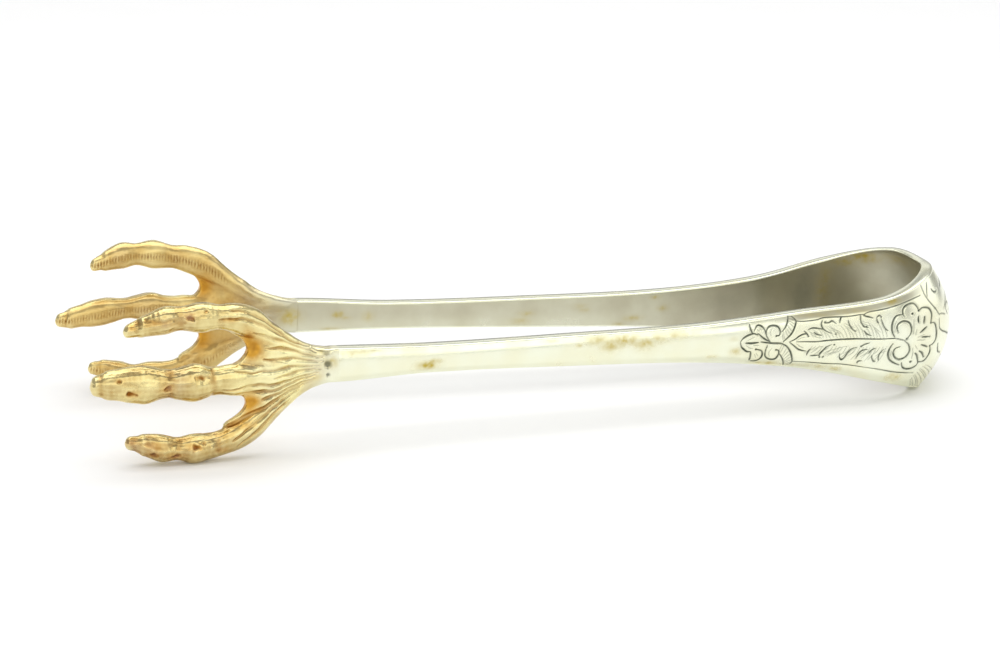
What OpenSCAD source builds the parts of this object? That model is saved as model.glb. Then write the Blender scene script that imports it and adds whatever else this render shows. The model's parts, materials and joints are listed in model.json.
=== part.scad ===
// Spring tongs with a domed bow, two tapering arms and a three-toed claw on each arm.
// The tongs lie on edge: the toes point along -X, the bow along +X, and the left arm is on the -Y side.

/* [Bow] */
// Radius of the inner rim of the bow
bow_r = 12.6; // [11:0.1:15]
// Half height of the strap at the crown of the bow
bow_half_h = 11.4; // [9:0.1:12]
// Thickness of the strap at the rims of the crown
rim_t = 1.7; // [1.4:0.1:2.4]
// How far the outer face of the crown domes out past its rims
crown_dome = 5.2; // [2:0.1:6]
// How far the outer face of the strap domes out where the bow meets an arm
side_dome = 0.9; // [0.4:0.1:1.5]
// How deep the inner face of the crown is hollowed between its rims
crown_hollow = 5; // [1.5:0.1:5.5]

/* [Arms] */
// Length from the centre of the bow to the wrist of a claw
arm_len = 104; // [95:1:115]
// Half of the gap between the arms at the neck, just past the bow
gap_neck = 10.15; // [9:0.05:12]
// Half of the gap between the arms at their middle
gap_middle = 10.9; // [10:0.1:13]
// Half of the gap between the arms at the wrists
gap_wrist = 13.5; // [12:0.1:16]
// Thickness of an arm at its rims
arm_t = 2.4; // [1.8:0.1:3]
// Half height of an arm where it leaves the bow
arm_half_h = 7.9; // [6:0.1:9]
// Half height of an arm at its narrowest
arm_thin_h = 2.45; // [2:0.05:3.5]
// How deep the inner face of an arm is dished between its rims
arm_dish = 0.1; // [0.05:0.05:0.3]
// Clearance at the seam where an arm bends against the bow
seam_gap = 0.15; // [0.1:0.05:0.3]

/* [Claws] */
// Length from the wrist to the roots of the toes
palm_len = 16; // [12:1:20]
// Distance of a toe's axis from the middle plane of the tongs, at its second knuckle
toe_out = 20.2; // [18:0.2:24]
// Half height across the roots of the three toes
palm_half_h = 12.4; // [11:0.2:14]
// Length of an upper or lower toe with its talon
outer_toe_len = 19.8; // [18:0.2:24]
// Length of a middle toe with its talon
middle_toe_len = 25.6; // [25:0.2:30]
// Length of a talon
talon_len = 3.2; // [2:0.2:5]
// Half height of an upper or lower toe at its first knuckle
outer_toe_h = 2.4; // [1.8:0.1:3]
// Half height of the left and right middle toes at their first knuckle
middle_toe_h = [3.2, 2.4]; // [2:0.1:3.6]
// Half thickness of an upper or lower toe, and of a middle toe, across the gap between the claws
toe_t = [2.1, 2.5]; // [1.6:0.1:3]

/* [Rest] */
// Angle that the tongs lean to stand on the bow and the lower toes
lean = 1.25; // [0:0.05:3]

/* [Hidden] */
silver = "gainsboro";
gilt = "goldenrod";

// Facets: across a face of the strap, around the bow, along an arm, along a palm, around a claw
face_facets = 6;
bow_facets = 24;
arm_facets = 20;
palm_facets = 8;
claw_facets = 14;

// Depth of the small flat on the lower rim of the crown, where the tongs stand
foot_wear = 0.11;

root_at = arm_len + palm_len;
bow_arc = PI / 2 * bow_r;
crown_reach = bow_r + rim_t + crown_dome;
tip_reach = root_at + middle_toe_len;
stand_h = bow_half_h * cos(lean) + (bow_r + rim_t) * sin(lean) - foot_wear;

// Half height of the strap by its distance from the crown, along the strap
strap_half_h = [
    [0, bow_half_h], [7.5, bow_half_h], [bow_arc, arm_half_h], [bow_arc + 15, 5.4], [bow_arc + 35, 3.5],
    [bow_arc + 60, 2.8], [bow_arc + 86, arm_thin_h], [bow_arc + arm_len, 3]
];
// Half of the gap between the arms, by the distance from the centre of the bow
half_gap = [[0, bow_r], [15, gap_neck], [35, gap_neck], [60, gap_middle], [86, 12.1], [arm_len, gap_wrist]];
// Dome of the outer face of an arm, by the distance from the centre of the bow
arm_dome = [[0, side_dome], [50, 0.5], [arm_len, 0.6]];

// Half height, half thickness and distance outwards of a palm, by the distance from the wrist
palm_h = [[0, 3.1], [3, 3.8], [6, 5], [9, 7.2], [12, 9.8], [palm_len, palm_half_h]];
palm_t = [[0, 1.5], [8, 2.1], [palm_len, 2.1]];
palm_out = [[0, gap_wrist + 1.5], [6, 16.3], [11, 18], [palm_len, toe_out - 0.8]];

// A toe, by the distance from its root: distance outwards, then radius as a share of the knuckle's
toe_y = [[0, toe_out - 0.8], [9, toe_out], [middle_toe_len, toe_out - 1]];
outer_swell = [
    [0, 0.95], [4, 0.98], [8, 1.03], [11, 0.84], [13.5, 0.94], [16.6, 0.74], [18.5, 0.55],
    [outer_toe_len, 0.2]
];
middle_swell = [
    [0, 0.9], [5.5, 0.88], [9, 1], [12.8, 0.9], [16.8, 0.97], [21, 0.77], [22.4, 0.7], [24.2, 0.55],
    [middle_toe_len, 0.2]
];
// Height of a toe's axis over the middle of the palm, by the distance from its root. The two
// castings were finished by hand, so the left claw and the right claw differ a little.
upper_rise = [
    [[0, 9.9], [4, 10.6], [9, 10.7], [14, 10.2], [outer_toe_len, 8.3]],
    [[0, 9], [4, 10.1], [9, 10.7], [14, 10.5], [outer_toe_len, 9]]
];
lower_drop = [
    [[0, 10], [4, 11.5], [8, 12], [14, 11.7], [outer_toe_len, 11]],
    [[0, 9.6], [4, 11.4], [8, 12], [14, 11.4], [outer_toe_len, 9.8]]
];
middle_rise = [
    [[0, -0.4], [middle_toe_len, -0.7]],
    [[0, 0.8], [9, 1], [17, 0.4], [middle_toe_len, -0.7]]
];

// Smooth curve through the [position, value] pairs of a table, level at both ends
function slope(t, i) = i == 0 || i == len(t) - 1 ? 0
    : (t[i + 1][1] - t[i - 1][1]) / (t[i + 1][0] - t[i - 1][0]);
function hermite(a, b, ma, mb, w, u) =
    a * (2 * u ^ 3 - 3 * u ^ 2 + 1) + b * (3 * u ^ 2 - 2 * u ^ 3)
    + w * (ma * (u ^ 3 - 2 * u ^ 2 + u) + mb * (u ^ 3 - u ^ 2));
function span(t, x, i = 0) = i >= len(t) - 2 || x < t[i + 1][0] ? i : span(t, x, i + 1);
function curve(t, x) =
    let (i = span(t, x), w = t[i + 1][0] - t[i][0], u = min(1, max(0, (x - t[i][0]) / w)))
    hermite(t[i][1], t[i + 1][1], slope(t, i), slope(t, i + 1), w, u);

// Closed skin over a list of rings, each ring a list of the same number of points
module skin(rings) {
    n = len(rings[0]);
    m = len(rings);
    sides = [
        for (j = [0:m - 2], i = [0:n - 1])
            let (a = j * n + i, b = j * n + (i + 1) % n)
            each [[a, b, b + n], [a, b + n, a + n]]
    ];
    first = [for (i = [n - 1:-1:0]) i];
    last = [for (i = [0:n - 1]) (m - 1) * n + i];
    polyhedron(points = [for (r = rings) each r], faces = concat([first], sides, [last]));
}

// Leans the tongs onto the ground and puts the middle of their length over the origin
module resting() {
    translate([(tip_reach - crown_reach) / 2, 0, stand_h])
        rotate([0, lean, 0])
            children();
}

// Everything on an arm is drawn for the right side, and mirrored for the left
module on_side(side) {
    if (side == "left")
        mirror([0, 1, 0])
            children();
    else
        children();
}

// Section of the strap as [distance outwards, height] pairs, up the outer face and down the inner
function strap_section(inner, half_h, t, dome, hollow) =
    let (steps = [for (k = [0:face_facets]) 2 * k / face_facets - 1])
    concat(
        [for (v = steps) [inner + t + dome * (1 - v * v), half_h * v]],
        [for (v = steps) [inner + hollow * (1 - v * v), -half_h * v]]
    );

module spring_bow() {
    color(silver)
        resting()
            intersection() {
                skin([
                    for (k = [0:bow_facets])
                        let (
                            turn = 180 * k / bow_facets - 90,
                            crown = max(0, cos(turn)) ^ 1.5,
                            half_h = curve(strap_half_h, bow_arc * abs(turn) / 90),
                            t = arm_t - (arm_t - rim_t) * cos(turn) ^ 2,
                            dome = side_dome + (crown_dome - side_dome) * crown,
                            hollow = arm_dish + (crown_hollow - arm_dish) * crown
                        )
                        [for (p = strap_section(bow_r, half_h, t, dome, hollow))
                            [p[0] * cos(turn), p[0] * sin(turn), p[1]]]
                ]);
                above_ground();
            }
}

// Everything above the ground, seen from the leaning tongs
module above_ground() {
    big = 4 * bow_half_h;
    rotate([0, -lean, 0])
        translate([-big, -big, -stand_h])
            cube([2 * big, 2 * big, 2 * big]);
}

module arm(side) {
    color(silver)
        resting()
            on_side(side)
                skin([
                    for (k = [0:arm_facets])
                        let (
                            s = seam_gap + (arm_len - seam_gap) * k / arm_facets,
                            inner = curve(half_gap, s),
                            half_h = curve(strap_half_h, bow_arc + s),
                            dome = curve(arm_dome, s)
                        )
                        [for (p = strap_section(inner, half_h, arm_t, dome, arm_dish)) [-s, p[0], p[1]]]
                ]);
}

// Oval ring across a claw, at a distance from the centre of the bow
function claw_ring(s, y, z, ry, rz) = [
    for (k = [0:claw_facets - 1])
        let (a = 360 * k / claw_facets)
        [-s, y + ry * cos(a), z + rz * sin(a)]
];

// The palm widens from the wrist to the roots of the toes
module foot(side) {
    color(gilt)
        resting()
            on_side(side)
                skin([
                    for (k = [0:palm_facets])
                        let (u = palm_len * k / palm_facets)
                        claw_ring(arm_len + u, curve(palm_out, u), 0, curve(palm_t, u), curve(palm_h, u))
                ]);
}

// A stretch of a toe, from one distance to another past its root
module toe_part(side, level, from, to, steps, snug = 1) {
    hand = side == "left" ? 0 : 1;
    middle = level == "middle";
    half_h = middle ? middle_toe_h[hand] : outer_toe_h;
    half_t = middle ? toe_t[1] : toe_t[0];
    swell = middle ? middle_swell : outer_swell;
    rises = middle ? middle_rise : level == "upper" ? upper_rise : lower_drop;
    color(gilt)
        resting()
            on_side(side)
                mirror([0, 0, level == "lower" ? 1 : 0])
                    skin([
                        for (k = [0:steps])
                            let (u = from + (to - from) * k / steps, size = snug * curve(swell, u))
                            claw_ring(root_at + u, curve(toe_y, u), curve(rises[hand], u),
                                size * half_t, size * half_h)
                    ]);
}

function toe_len(level) = level == "middle" ? middle_toe_len : outer_toe_len;

module toe(side, level) {
    toe_part(side, level, 0, toe_len(level) - talon_len, 12);
}

// A talon is a little slimmer than the collar of skin that it comes out of
module talon(side, level) {
    toe_part(side, level, toe_len(level) - talon_len, toe_len(level), 5, 0.86);
}

spring_bow();
arm("left");  // left_arm
arm("right");  // right_arm
foot("left");  // left_foot
foot("right");  // right_foot
toe("left", "upper");  // left_upper_toe
toe("left", "middle");  // left_middle_toe
toe("left", "lower");  // left_lower_toe
toe("right", "upper");  // right_upper_toe
toe("right", "middle");  // right_middle_toe
toe("right", "lower");  // right_lower_toe
talon("left", "upper");  // left_upper_talon
talon("left", "middle");  // left_middle_talon
talon("left", "lower");  // left_lower_talon
talon("right", "upper");  // right_upper_talon
talon("right", "middle");  // right_middle_talon
talon("right", "lower");  // right_lower_talon
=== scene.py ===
"""Spring tongs: two engraved silver strap halves and two gilt claws, on the CAD frame."""
import json

import bpy
import numpy as np
from mathutils import Matrix, Vector, noise


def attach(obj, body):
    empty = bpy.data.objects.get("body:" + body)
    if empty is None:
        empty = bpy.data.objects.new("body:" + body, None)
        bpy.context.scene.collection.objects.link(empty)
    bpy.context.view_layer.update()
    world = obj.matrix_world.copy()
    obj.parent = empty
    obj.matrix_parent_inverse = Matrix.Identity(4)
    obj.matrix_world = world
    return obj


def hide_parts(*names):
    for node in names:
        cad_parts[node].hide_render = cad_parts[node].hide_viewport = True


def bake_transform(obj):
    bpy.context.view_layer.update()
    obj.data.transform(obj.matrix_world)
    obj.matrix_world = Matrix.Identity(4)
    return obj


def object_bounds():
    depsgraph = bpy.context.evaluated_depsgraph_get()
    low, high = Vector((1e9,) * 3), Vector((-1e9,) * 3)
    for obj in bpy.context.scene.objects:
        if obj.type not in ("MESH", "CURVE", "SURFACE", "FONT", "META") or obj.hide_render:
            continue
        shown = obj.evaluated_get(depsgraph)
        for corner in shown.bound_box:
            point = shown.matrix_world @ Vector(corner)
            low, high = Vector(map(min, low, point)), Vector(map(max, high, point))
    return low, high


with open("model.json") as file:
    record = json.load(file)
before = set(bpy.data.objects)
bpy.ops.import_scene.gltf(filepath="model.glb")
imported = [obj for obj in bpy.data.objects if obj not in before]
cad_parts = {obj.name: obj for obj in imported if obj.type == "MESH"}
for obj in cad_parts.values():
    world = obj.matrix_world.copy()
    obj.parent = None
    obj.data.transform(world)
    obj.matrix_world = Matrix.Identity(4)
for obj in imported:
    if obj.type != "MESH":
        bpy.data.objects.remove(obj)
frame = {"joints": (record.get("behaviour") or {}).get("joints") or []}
cad_low, cad_high = [np.array(corner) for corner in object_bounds()]

# ---------------------------------------------------------------- the design frame
# Shapes are drawn in millimetres in the tongs' own frame, as the CAD is: x runs from the claws
# to the bow, the bow's centre is the origin, and the arms lie at plus and minus y.
MM = 0.001
HINGE = {j["name"]: j for j in frame["joints"]}["left_arm_spring"]
LEAN = np.arcsin(abs(HINGE["axis"][0]))
BOW_CENTRE = np.array([HINGE["pos_m"][0], 0, HINGE["pos_m"][2]])


def to_row(points):
    """Points of the design frame, in mm, as points of the row frame, in metres."""
    c, s = np.cos(LEAN), np.sin(LEAN)
    turn = np.array([[c, 0, s], [0, 1, 0], [-s, 0, c]])
    return np.asarray(points, float) @ turn.T * MM + BOW_CENTRE


def inside_box(points):
    """The same points, none of them past the CAD's box."""
    hair = 0.00002
    return np.clip(points, cad_low + [hair, hair, 0], cad_high - hair)


def curve(table, x):
    """Smooth curve through the [position, value] pairs of a table, level at both ends."""
    t = np.array(table, float)
    x = np.clip(np.asarray(x, float), t[0, 0], t[-1, 0])
    slope = np.zeros(len(t))
    slope[1:-1] = (t[2:, 1] - t[:-2, 1]) / (t[2:, 0] - t[:-2, 0])
    i = np.clip(np.searchsorted(t[:, 0], x, "right") - 1, 0, len(t) - 2)
    w = t[i + 1, 0] - t[i, 0]
    u = (x - t[i, 0]) / w
    ends = t[i, 1] * (2 * u**3 - 3 * u**2 + 1) + t[i + 1, 1] * (3 * u**2 - 2 * u**3)
    return ends + w * (slope[i] * (u**3 - 2 * u**2 + u) + slope[i + 1] * (u**3 - u**2))


def ease(low, high, x):
    """0 below low, 1 above high and smooth between them."""
    t = np.clip((np.asarray(x, float) - low) / (high - low), 0, 1)
    return t * t * (3 - 2 * t)


def noise_at(points, scale, seed):
    """Smooth noise from -1 to 1 with features of about scale mm."""
    shift = Vector((seed * 17.3, seed * 5.1, seed * 9.7))
    return np.array([noise.noise(Vector(p) / scale + shift) for p in points])


def smooth_line(points, steps=5):
    """A rounded line through the points."""
    p = np.array([points[0], *points, points[-1]], float)
    out = []
    for a, b, c, d in zip(p[:-3], p[1:-2], p[2:-1], p[3:]):
        for t in np.arange(steps) / steps:
            out.append(
                0.5 * (2 * b + (c - a) * t + (2 * a - 5 * b + 4 * c - d) * t**2
                       + (3 * b - a - 3 * c + d) * t**3)
            )
    return np.array(out + [p[-2]])


def cut_depth(a, z, lines, width, taper):
    """How far each point (a, z) lies into the cut lines: 0 outside them, 1 along the middle.
    A line is thinner at its ends by the taper."""
    depth = np.zeros(a.shape)
    for line in lines:
        path = smooth_line(line)
        low, high = path.min(0) - width, path.max(0) + width
        near = np.flatnonzero((a > low[0]) & (a < high[0]) & (z > low[1]) & (z < high[1]))
        q = np.stack([a[near], z[near]], 1)
        for k, (p0, p1) in enumerate(zip(path[:-1], path[1:])):
            step = p1 - p0
            t = np.clip((q - p0) @ step / max(step @ step, 1e-9), 0, 1)
            far = np.linalg.norm(q - p0 - t[:, None] * step, axis=1)
            along = np.sin(np.pi * (k + t) / (len(path) - 1))
            reach = width * (1 - taper + taper * along)
            depth[near] = np.maximum(depth[near], 1 - far / reach)
    return depth


def hatch(edge_a, edge_b, count):
    """Short lines from one edge to the other."""
    a, b = smooth_line(edge_a), smooth_line(edge_b)
    pick = [(a[int(t * (len(a) - 1))], b[int(t * (len(b) - 1))]) for t in np.linspace(0.04, 0.96, count)]
    reach = 0.9
    return [[p, p + reach * (q - p)] for p, q in pick]


def make_mesh(name, points, faces, attributes):
    """A mesh object in the row frame, smooth, with a float attribute per point for each name."""
    mesh = bpy.data.meshes.new(name)
    mesh.from_pydata([tuple(p) for p in inside_box(to_row(points))], [], faces)
    mesh.validate()
    for key, values in attributes.items():
        layer = mesh.attributes.new(key, "FLOAT", "POINT")
        layer.data.foreach_set("value", np.asarray(values, np.float32))
    mesh.shade_smooth()
    piece = bpy.data.objects.new(name, mesh)
    bpy.context.scene.collection.objects.link(piece)
    return piece


def set_normals(piece, normals):
    """Give a piece its own point normals."""
    normals = normals / np.linalg.norm(normals, axis=1, keepdims=True).clip(1e-9)
    piece.data.normals_split_custom_set_from_vertices([tuple(v) for v in normals])


# ---------------------------------------------------------------- the strap
# A point of the strap has two measures: its distance from the crown, a, and its height, z. On an
# arm its distance from the bow, s, is shorter than a by BOW_ARC.
BOW_R = 12.6
BOW_ARC = np.pi / 2 * BOW_R
ARM_LEN = 104
RIM_T, ARM_T = 1.7, 2.4
CROWN_DOME, SIDE_DOME = 5.2, 0.9
CROWN_HOLLOW, ARM_DISH = 5, 0.1
# Half height of the strap by a, and half of the gap between the arms and dome of an arm by s.
HALF_H = [
    [0, 11.4], [7.5, 11.4], [BOW_ARC, 7.9], [BOW_ARC + 15, 5.4], [BOW_ARC + 35, 3.5],
    [BOW_ARC + 60, 2.8], [BOW_ARC + 86, 2.45], [BOW_ARC + ARM_LEN, 3],
]
HALF_GAP = [[0, 12.6], [15, 10.15], [35, 10.15], [60, 10.9], [86, 12.1], [ARM_LEN, 13.5]]
ARM_DOME = [[0, 0.9], [50, 0.5], [ARM_LEN, 0.6]]
BEVEL_W, BEVEL_DROP = 1.6, 0.42
RIM_ROUND = 0.4
# The mesh: rows along the engraved and the plain stretch, and points across each face.
ENGRAVED_TO, ENGRAVED_ROWS, PLAIN_ROWS = 48, 360, 90
OUTER_N, RIM_N, INNER_N = 150, 4, 22
# Half width and depth of the engraved lines, how dark the patina is in them and around them, and how dark the
# painted shade on the upper margin is.
CUT_W, CUT_DEEP = 0.31, 0.18
THIN_W, THIN_DEEP = 0.26, 0.14
FINE_W, FINE_DEEP = 0.14, 0.06
BORDER_W, HALO_W = 0.19, 1.1
CUT_DARK, FINE_DARK, HALO_DARK, MARGIN_SHADE_DARK = 0.95, 0.6, 0.09, 0.24

# The engraving, as lines of (a, height) points in mm.
LEAF = [
    [(47.2, .25), (46.75, .9), (46.25, 1.25), (45.6, 1.55), (44.6, 1.75), (43.9, 1.5)],
    [(43.75, 1.75), (43, 1.1), (42.25, .6), (41.25, .1)],
    [(47.2, .25), (46.9, -.6), (46.4, -1.1), (45.75, -1.55), (45, -1.6)],
    [(45, -1.6), (44.9, -2.25), (44.9, -3.4)],
    [(45.4, 3.5), (45.4, 3), (45, 2), (44.6, 1.7)],
    [(44.6, 2.2), (44.1, 3.05), (43.6, 3.2), (43, 2.95), (42.5, 2.3), (42.3, 1.6)],
    [(44, -1.2), (42.9, -1.5), (42.6, -2.4), (43, -3.2), (43.75, -3.55), (44.7, -3.5)],
    [(41.3, .1), (42.2, 1.5), (41.9, 2.75), (41, 3.1), (40, 2.9), (39.5, 2.1), (39.6, 1.35), (40.2, 1.2)],
    [
        (41.8, -.5), (42.1, -1.75), (41.9, -2.75), (40.9, -3.3), (39.9, -3.2), (39.4, -2.3),
        (39.5, -1.6), (40, -1.45),
    ],
    [(43.2, .2), (41.2, -.1), (39.5, -.2), (38.8, -.3)],
    [(46.2, .1), (45, 0), (43.6, .1)],
]
BAND_LOW = [(39.1, -.3), (38.1, -.75), (37.25, -1.75), (36.8, -2.75), (36.5, -3.8), (36.75, -4.4)]
BAND_LOW_IN = [(39.5, -1.9), (38.6, -3.1), (38.1, -4.1), (37.9, -4.9)]
BAND_TOP_IN = [(39.2, 1.9), (38.5, 2.75), (38, 4), (37.9, 4.9)]
BAND_TOP = [(38.8, 0), (38.4, .4), (37.5, 1.25), (37, 2), (36.6, 3), (36.5, 3.9), (37.2, 4.6)]
BORDER = [
    [(36.5, 3.85), (35.2, 3.75), (32.75, 4), (31.4, 4.4), (29.6, 4.6), (27, 4.8), (24.75, 5.2), (24, 5.2)],
    [(24, 5.3), (23, 5.75), (20, 6.3), (17.5, 7), (15, 7.75), (13.5, 8.1)],
    [(36.5, -3.85), (34, -4), (30.2, -4.25), (27.5, -4.25), (25, -4.5), (23, -4.8)],
    [(23, -4.8), (20, -5.25), (17.5, -5.9), (15, -6.4), (13.75, -6.6)],
    [(12.6, 9.9), (12.6, 8.5), (12.1, 7.25), (11.25, 6), (10.5, 5), (9.9, 4), (9.25, 4), (8, 3.5)],
    [(11, 9.9), (11.75, 8.6), (12, 7.6)],
]
ACANTHUS_TIP = [
    [(37.6, 0), (36.5, .5), (35.75, 1.05), (35, 1.4), (34.25, 1.45), (34, 1)],
    [(34.9, 2), (34.4, 1.6), (34, 1)],
    [(37.6, 0), (36.6, -.75), (35.75, -1.4), (34.9, -1.7), (34.25, -1.8)],
    [
        (36.2, 0), (34.5, 0), (32.5, 0), (30.25, .3), (28, .55), (26, .7), (24, .75), (20, .7),
        (18, .7), (16.5, .25),
    ],
]
FRONDS_TOP = [
    [(34.1, 2.25), (33.25, 2.55), (32, 2.45), (31.25, 2.3)],
    [(33, 1.8), (32.5, 1.4), (31.5, 1.2)],
    [(31.5, 4), (31.7, 3.25), (31.4, 2.5), (30.75, 2), (29.75, 1.6)],
    [(31, 3.5), (30.3, 3.6), (29.75, 3.9), (29, 3.4)],
    [(28.1, 4.7), (28.3, 4.25), (28.4, 3.5)],
    [(26.9, 4.1), (26.6, 3.25), (26, 2.45), (25.4, 2.1)],
    [(24.7, 5.2), (24.6, 4), (24.2, 3.3), (23.9, 3), (23.1, 2.9)],
    [(23.9, 2.3), (23.4, 1.7), (22.5, 1.35)],
    [(24, 5.2), (23.75, 4.95), (23, 4.8), (22.25, 4.6)],
    [(21.7, 4.6), (21.5, 4), (21.2, 3.6)],
    [(21.7, 4.7), (21.2, 5.1), (20.8, 4.9)],
    [(20.8, 4.5), (20.4, 3.5), (20, 2.8), (19.4, 2.2)],
    [(29.1, 1.5), (28.9, 1.5)],
]
FRONDS_LOW = [
    [(33.4, -1.4), (33.75, -1.9), (34, -2.6)],
    [(29.6, -.5), (30.5, -1), (31.1, -1.75), (31.6, -2.5), (31.5, -3.1)],
    [(33.25, -2.75), (31.75, -2.6)],
    [(31, -3.1), (30.75, -2.75)],
    [(29.2, -.5), (29, -.5)],
    [(28, -2.1), (27.9, -2.9), (27.5, -3.4), (27, -2.9), (26.5, -1.9), (26, -1.25), (25, -.9)],
    [(24.4, -.8), (23.6, -.3), (22.7, 0)],
    [(24.9, -3), (24.5, -2), (23.8, -1.4), (23, -1.3)],
    [(24.6, -4), (24.4, -3.6), (23.8, -3.5)],
    [(22.7, -2.1), (22.2, -1.4), (21.5, -1)],
    [(22, -2.3), (21.9, -3), (21.5, -3.6), (21.2, -3.6)],
    [(20.6, -3.5), (20.7, -2.7), (20.4, -1.9), (19.8, -1.3)],
]
VOLUTES = [
    [(18.25, .95), (18.7, 2), (18.8, 3.25), (18.5, 4.4), (18, 5), (17.1, 5.1)],
    [(17.7, 1.75), (18, 2.75), (17.7, 3.5), (16.9, 3.9), (16, 3.5), (15.6, 2.5), (15.7, 1.4), (16.25, .55)],
    [(18.4, -.2), (18.9, -1.25), (19, -2.4), (18.6, -3.4), (17.75, -4.1), (16.9, -4.5)],
    [
        (17.25, -.9), (18, -1.25), (18.2, -2.1), (17.8, -3), (17, -3.4), (16.1, -3), (15.6, -1.9),
        (15.9, -.6), (16.6, .1),
    ],
]
PALMETTE = [
    [(16.75, 4.6), (17, 5), (17.1, 5.75), (16.75, 6.5), (15.9, 6.9), (15.1, 6.9), (14.5, 6.25), (14.25, 5.5)],
    [(14.25, 5.5), (13.5, 5.9), (12.6, 5.8), (12, 5.4), (11.7, 4.5), (11.9, 3.5), (12, 2.9)],
    [(12, 2.9), (11.25, 2.75), (10.9, 2), (10.7, .75), (10.75, -.5), (11.25, -1.25), (11.9, -1.45)],
    [(11.9, -1.5), (11.6, -2.5), (11.75, -3.5), (12.4, -4.4), (13.5, -4.4)],
    [(13.5, -4.4), (13.75, -5.1), (14.5, -5.5), (15.5, -5.5), (16.25, -5), (16.6, -4.1)],
    [(14.3, 4.6), (14.4, 3.9), (14.3, 3.25)],
    [(13.2, 4.2), (13.4, 3)],
    [(14.1, 1.4), (12.8, 2.4)],
    [(13.75, .55), (12.25, .35)],
    [(13.75, -.9), (13, -1.25), (12.4, -1.6)],
    [(13.9, -2.1), (13.25, -2.6), (12.75, -3.5)],
    [(14.6, -2.4), (14.1, -3), (13.6, -4.4)],
]
CROWN = [
    [(10, 3.25), (10, 1.6), (9.25, .75), (8, .1), (6.75, -.6), (4.9, -1.4), (3, -2), (1.75, -2.5), (.75, -2)],
    [(10, -1.5), (9.75, -2.5), (9.25, -3.4), (8.25, -3.9)],
    [(10.5, 8.75), (10, 8.1), (9.25, 8), (8.8, 8.4)],
    [(8.2, 4.6), (6.4, 6), (4.2, 6.9), (2.2, 7.2), (.4, 6.4)],
    [(7.4, 8.3), (5.2, 9.2), (3, 9.6), (0, 9.7)],
    [(7, 3.2), (7.4, 4.4), (6.6, 5.2), (5.6, 4.8), (5.7, 3.8), (6.3, 3.7)],
    [(0, 5.2), (1.5, 4.2), (1.7, 2.8), (.9, 1.5), (0, .9)],
    [(3.9, 3.4), (2.8, 3.2), (1.9, 2.3), (1, 1.1)],
    [(3.6, .6), (2.6, 1.5), (1.5, 1.1), (.3, .3)],
    [(7.6, -4.6), (6, -5.4), (4.2, -5.2), (3, -4.4), (3.1, -3.4), (4, -3.3)],
    [(3.4, -6.2), (1.9, -5.4), (.9, -4.2), (0, -3.6)],
    [(0, -7.9), (1.6, -8.1), (3.2, -7.5)],
]
HATCH_N = 9
# A fan of short arcs at the lower corner of the bow.
FAN = hatch([(13.8, -8), (13.4, -6.9), (12.6, -5.9), (11.6, -5.2)],
            [(11.6, -11), (9.4, -11), (6.6, -10.4), (4.6, -9.2)], HATCH_N)
# Dots and the fat ends of strokes, as (a, height, radius).
BLOBS = [
    (15.4, 5.1, .42), (13.2, 4.2, .3), (14.25, 5.5, .34), (12, 2.9, .34), (12.2, .35, .3), (11.9, -1.5, .34),
    (12.7, -3.5, .32), (13.5, -4.4, .34), (15, -4.1, .42), (16.25, .5, .4), (16.9, 3.9, .34), (17, -3.4, .4),
    (29, 1.5, .28), (29.1, -.5, .28), (31, 3.6, .38), (23.5, 3, .34), (24, 5.1, .34), (24.2, -.7, .34),
    (44, -1.2, .34), (44.9, -3.1, .34), (43.9, 1.6, .34), (34, 1, .3), (20.8, 4.8, .3), (21.3, -3.6, .3),
    (40.2, 1.2, .32), (40, -1.45, .32), (31.5, -3, .3), (27.5, -3.3, .34), (10.7, 5.3, .3), (9.3, -3.3, .34),
]
# Roots of the short strokes over and under the rib of the acanthus.
BARBS_TOP = [(33.6, 1.4), (30.6, 2.9), (30.2, 2.4), (27.6, 3.6), (27.2, 3), (25, 4.4), (24.6, 3.9)]
BARBS_LOW = [(33, -1.7), (31, -2.3), (30.6, -2.7), (27.4, -2.2), (24.2, -2.7), (23.6, -2.2), (21.4, -2.6)]
SHADING = (
    hatch(BAND_LOW, BAND_LOW_IN, HATCH_N)
    + hatch(BAND_TOP, BAND_TOP_IN, HATCH_N)
    + [
        [(46, .4), (45, .9), (44.4, 1.1)], [(46, -.4), (45.2, -.9), (44.6, -1)], [(44.6, -.4), (43.4, -.5)],
        [(43.9, -1.9), (43.4, -2.6)], [(44.2, -2), (43.8, -2.9)], [(44, 2.5), (43.4, 2.1)],
        [(43.6, 2.8), (43, 2.3)],
        [(41.2, 1), (41.4, 1.9), (41, 2.6)], [(40.8, -1), (41.4, -1.9), (41.1, -2.8)],
        [(22.5, 3.3), (21.5, 2.5), (20.8, 2)], [(29.1, -1.6), (28.25, -1.1), (26.5, -.6)],
        [(36.3, .2), (35.4, .7), (34.6, .8)], [(36.3, -.3), (35.4, -.9), (34.7, -1.2)],
    ]
    + [[(a, z), (a - 1.1, z - .55), (a - 2.1, z - .75)] for a, z in BARBS_TOP]
    + [[(a, z), (a - 1, z + .6), (a - 2, z + .9)] for a, z in BARBS_LOW]
    + [
        [(15.3, 1.1), (15.2, 2.6), (15.3, 4.4)], [(14.9, 1), (14.7, 2.2)], [(14.6, .6), (13.2, 1)],
        [(14.6, .1), (13, -.1)],
        [(15.2, -1), (15, -2.4), (15, -3.6)], [(14.8, -.8), (14.3, -1.7)],
        [(18.3, 1.9), (18.4, 3.1), (18.1, 4.1)], [(18.5, -1.3), (18.6, -2.4), (18.2, -3.3)],
    ]
)
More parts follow.
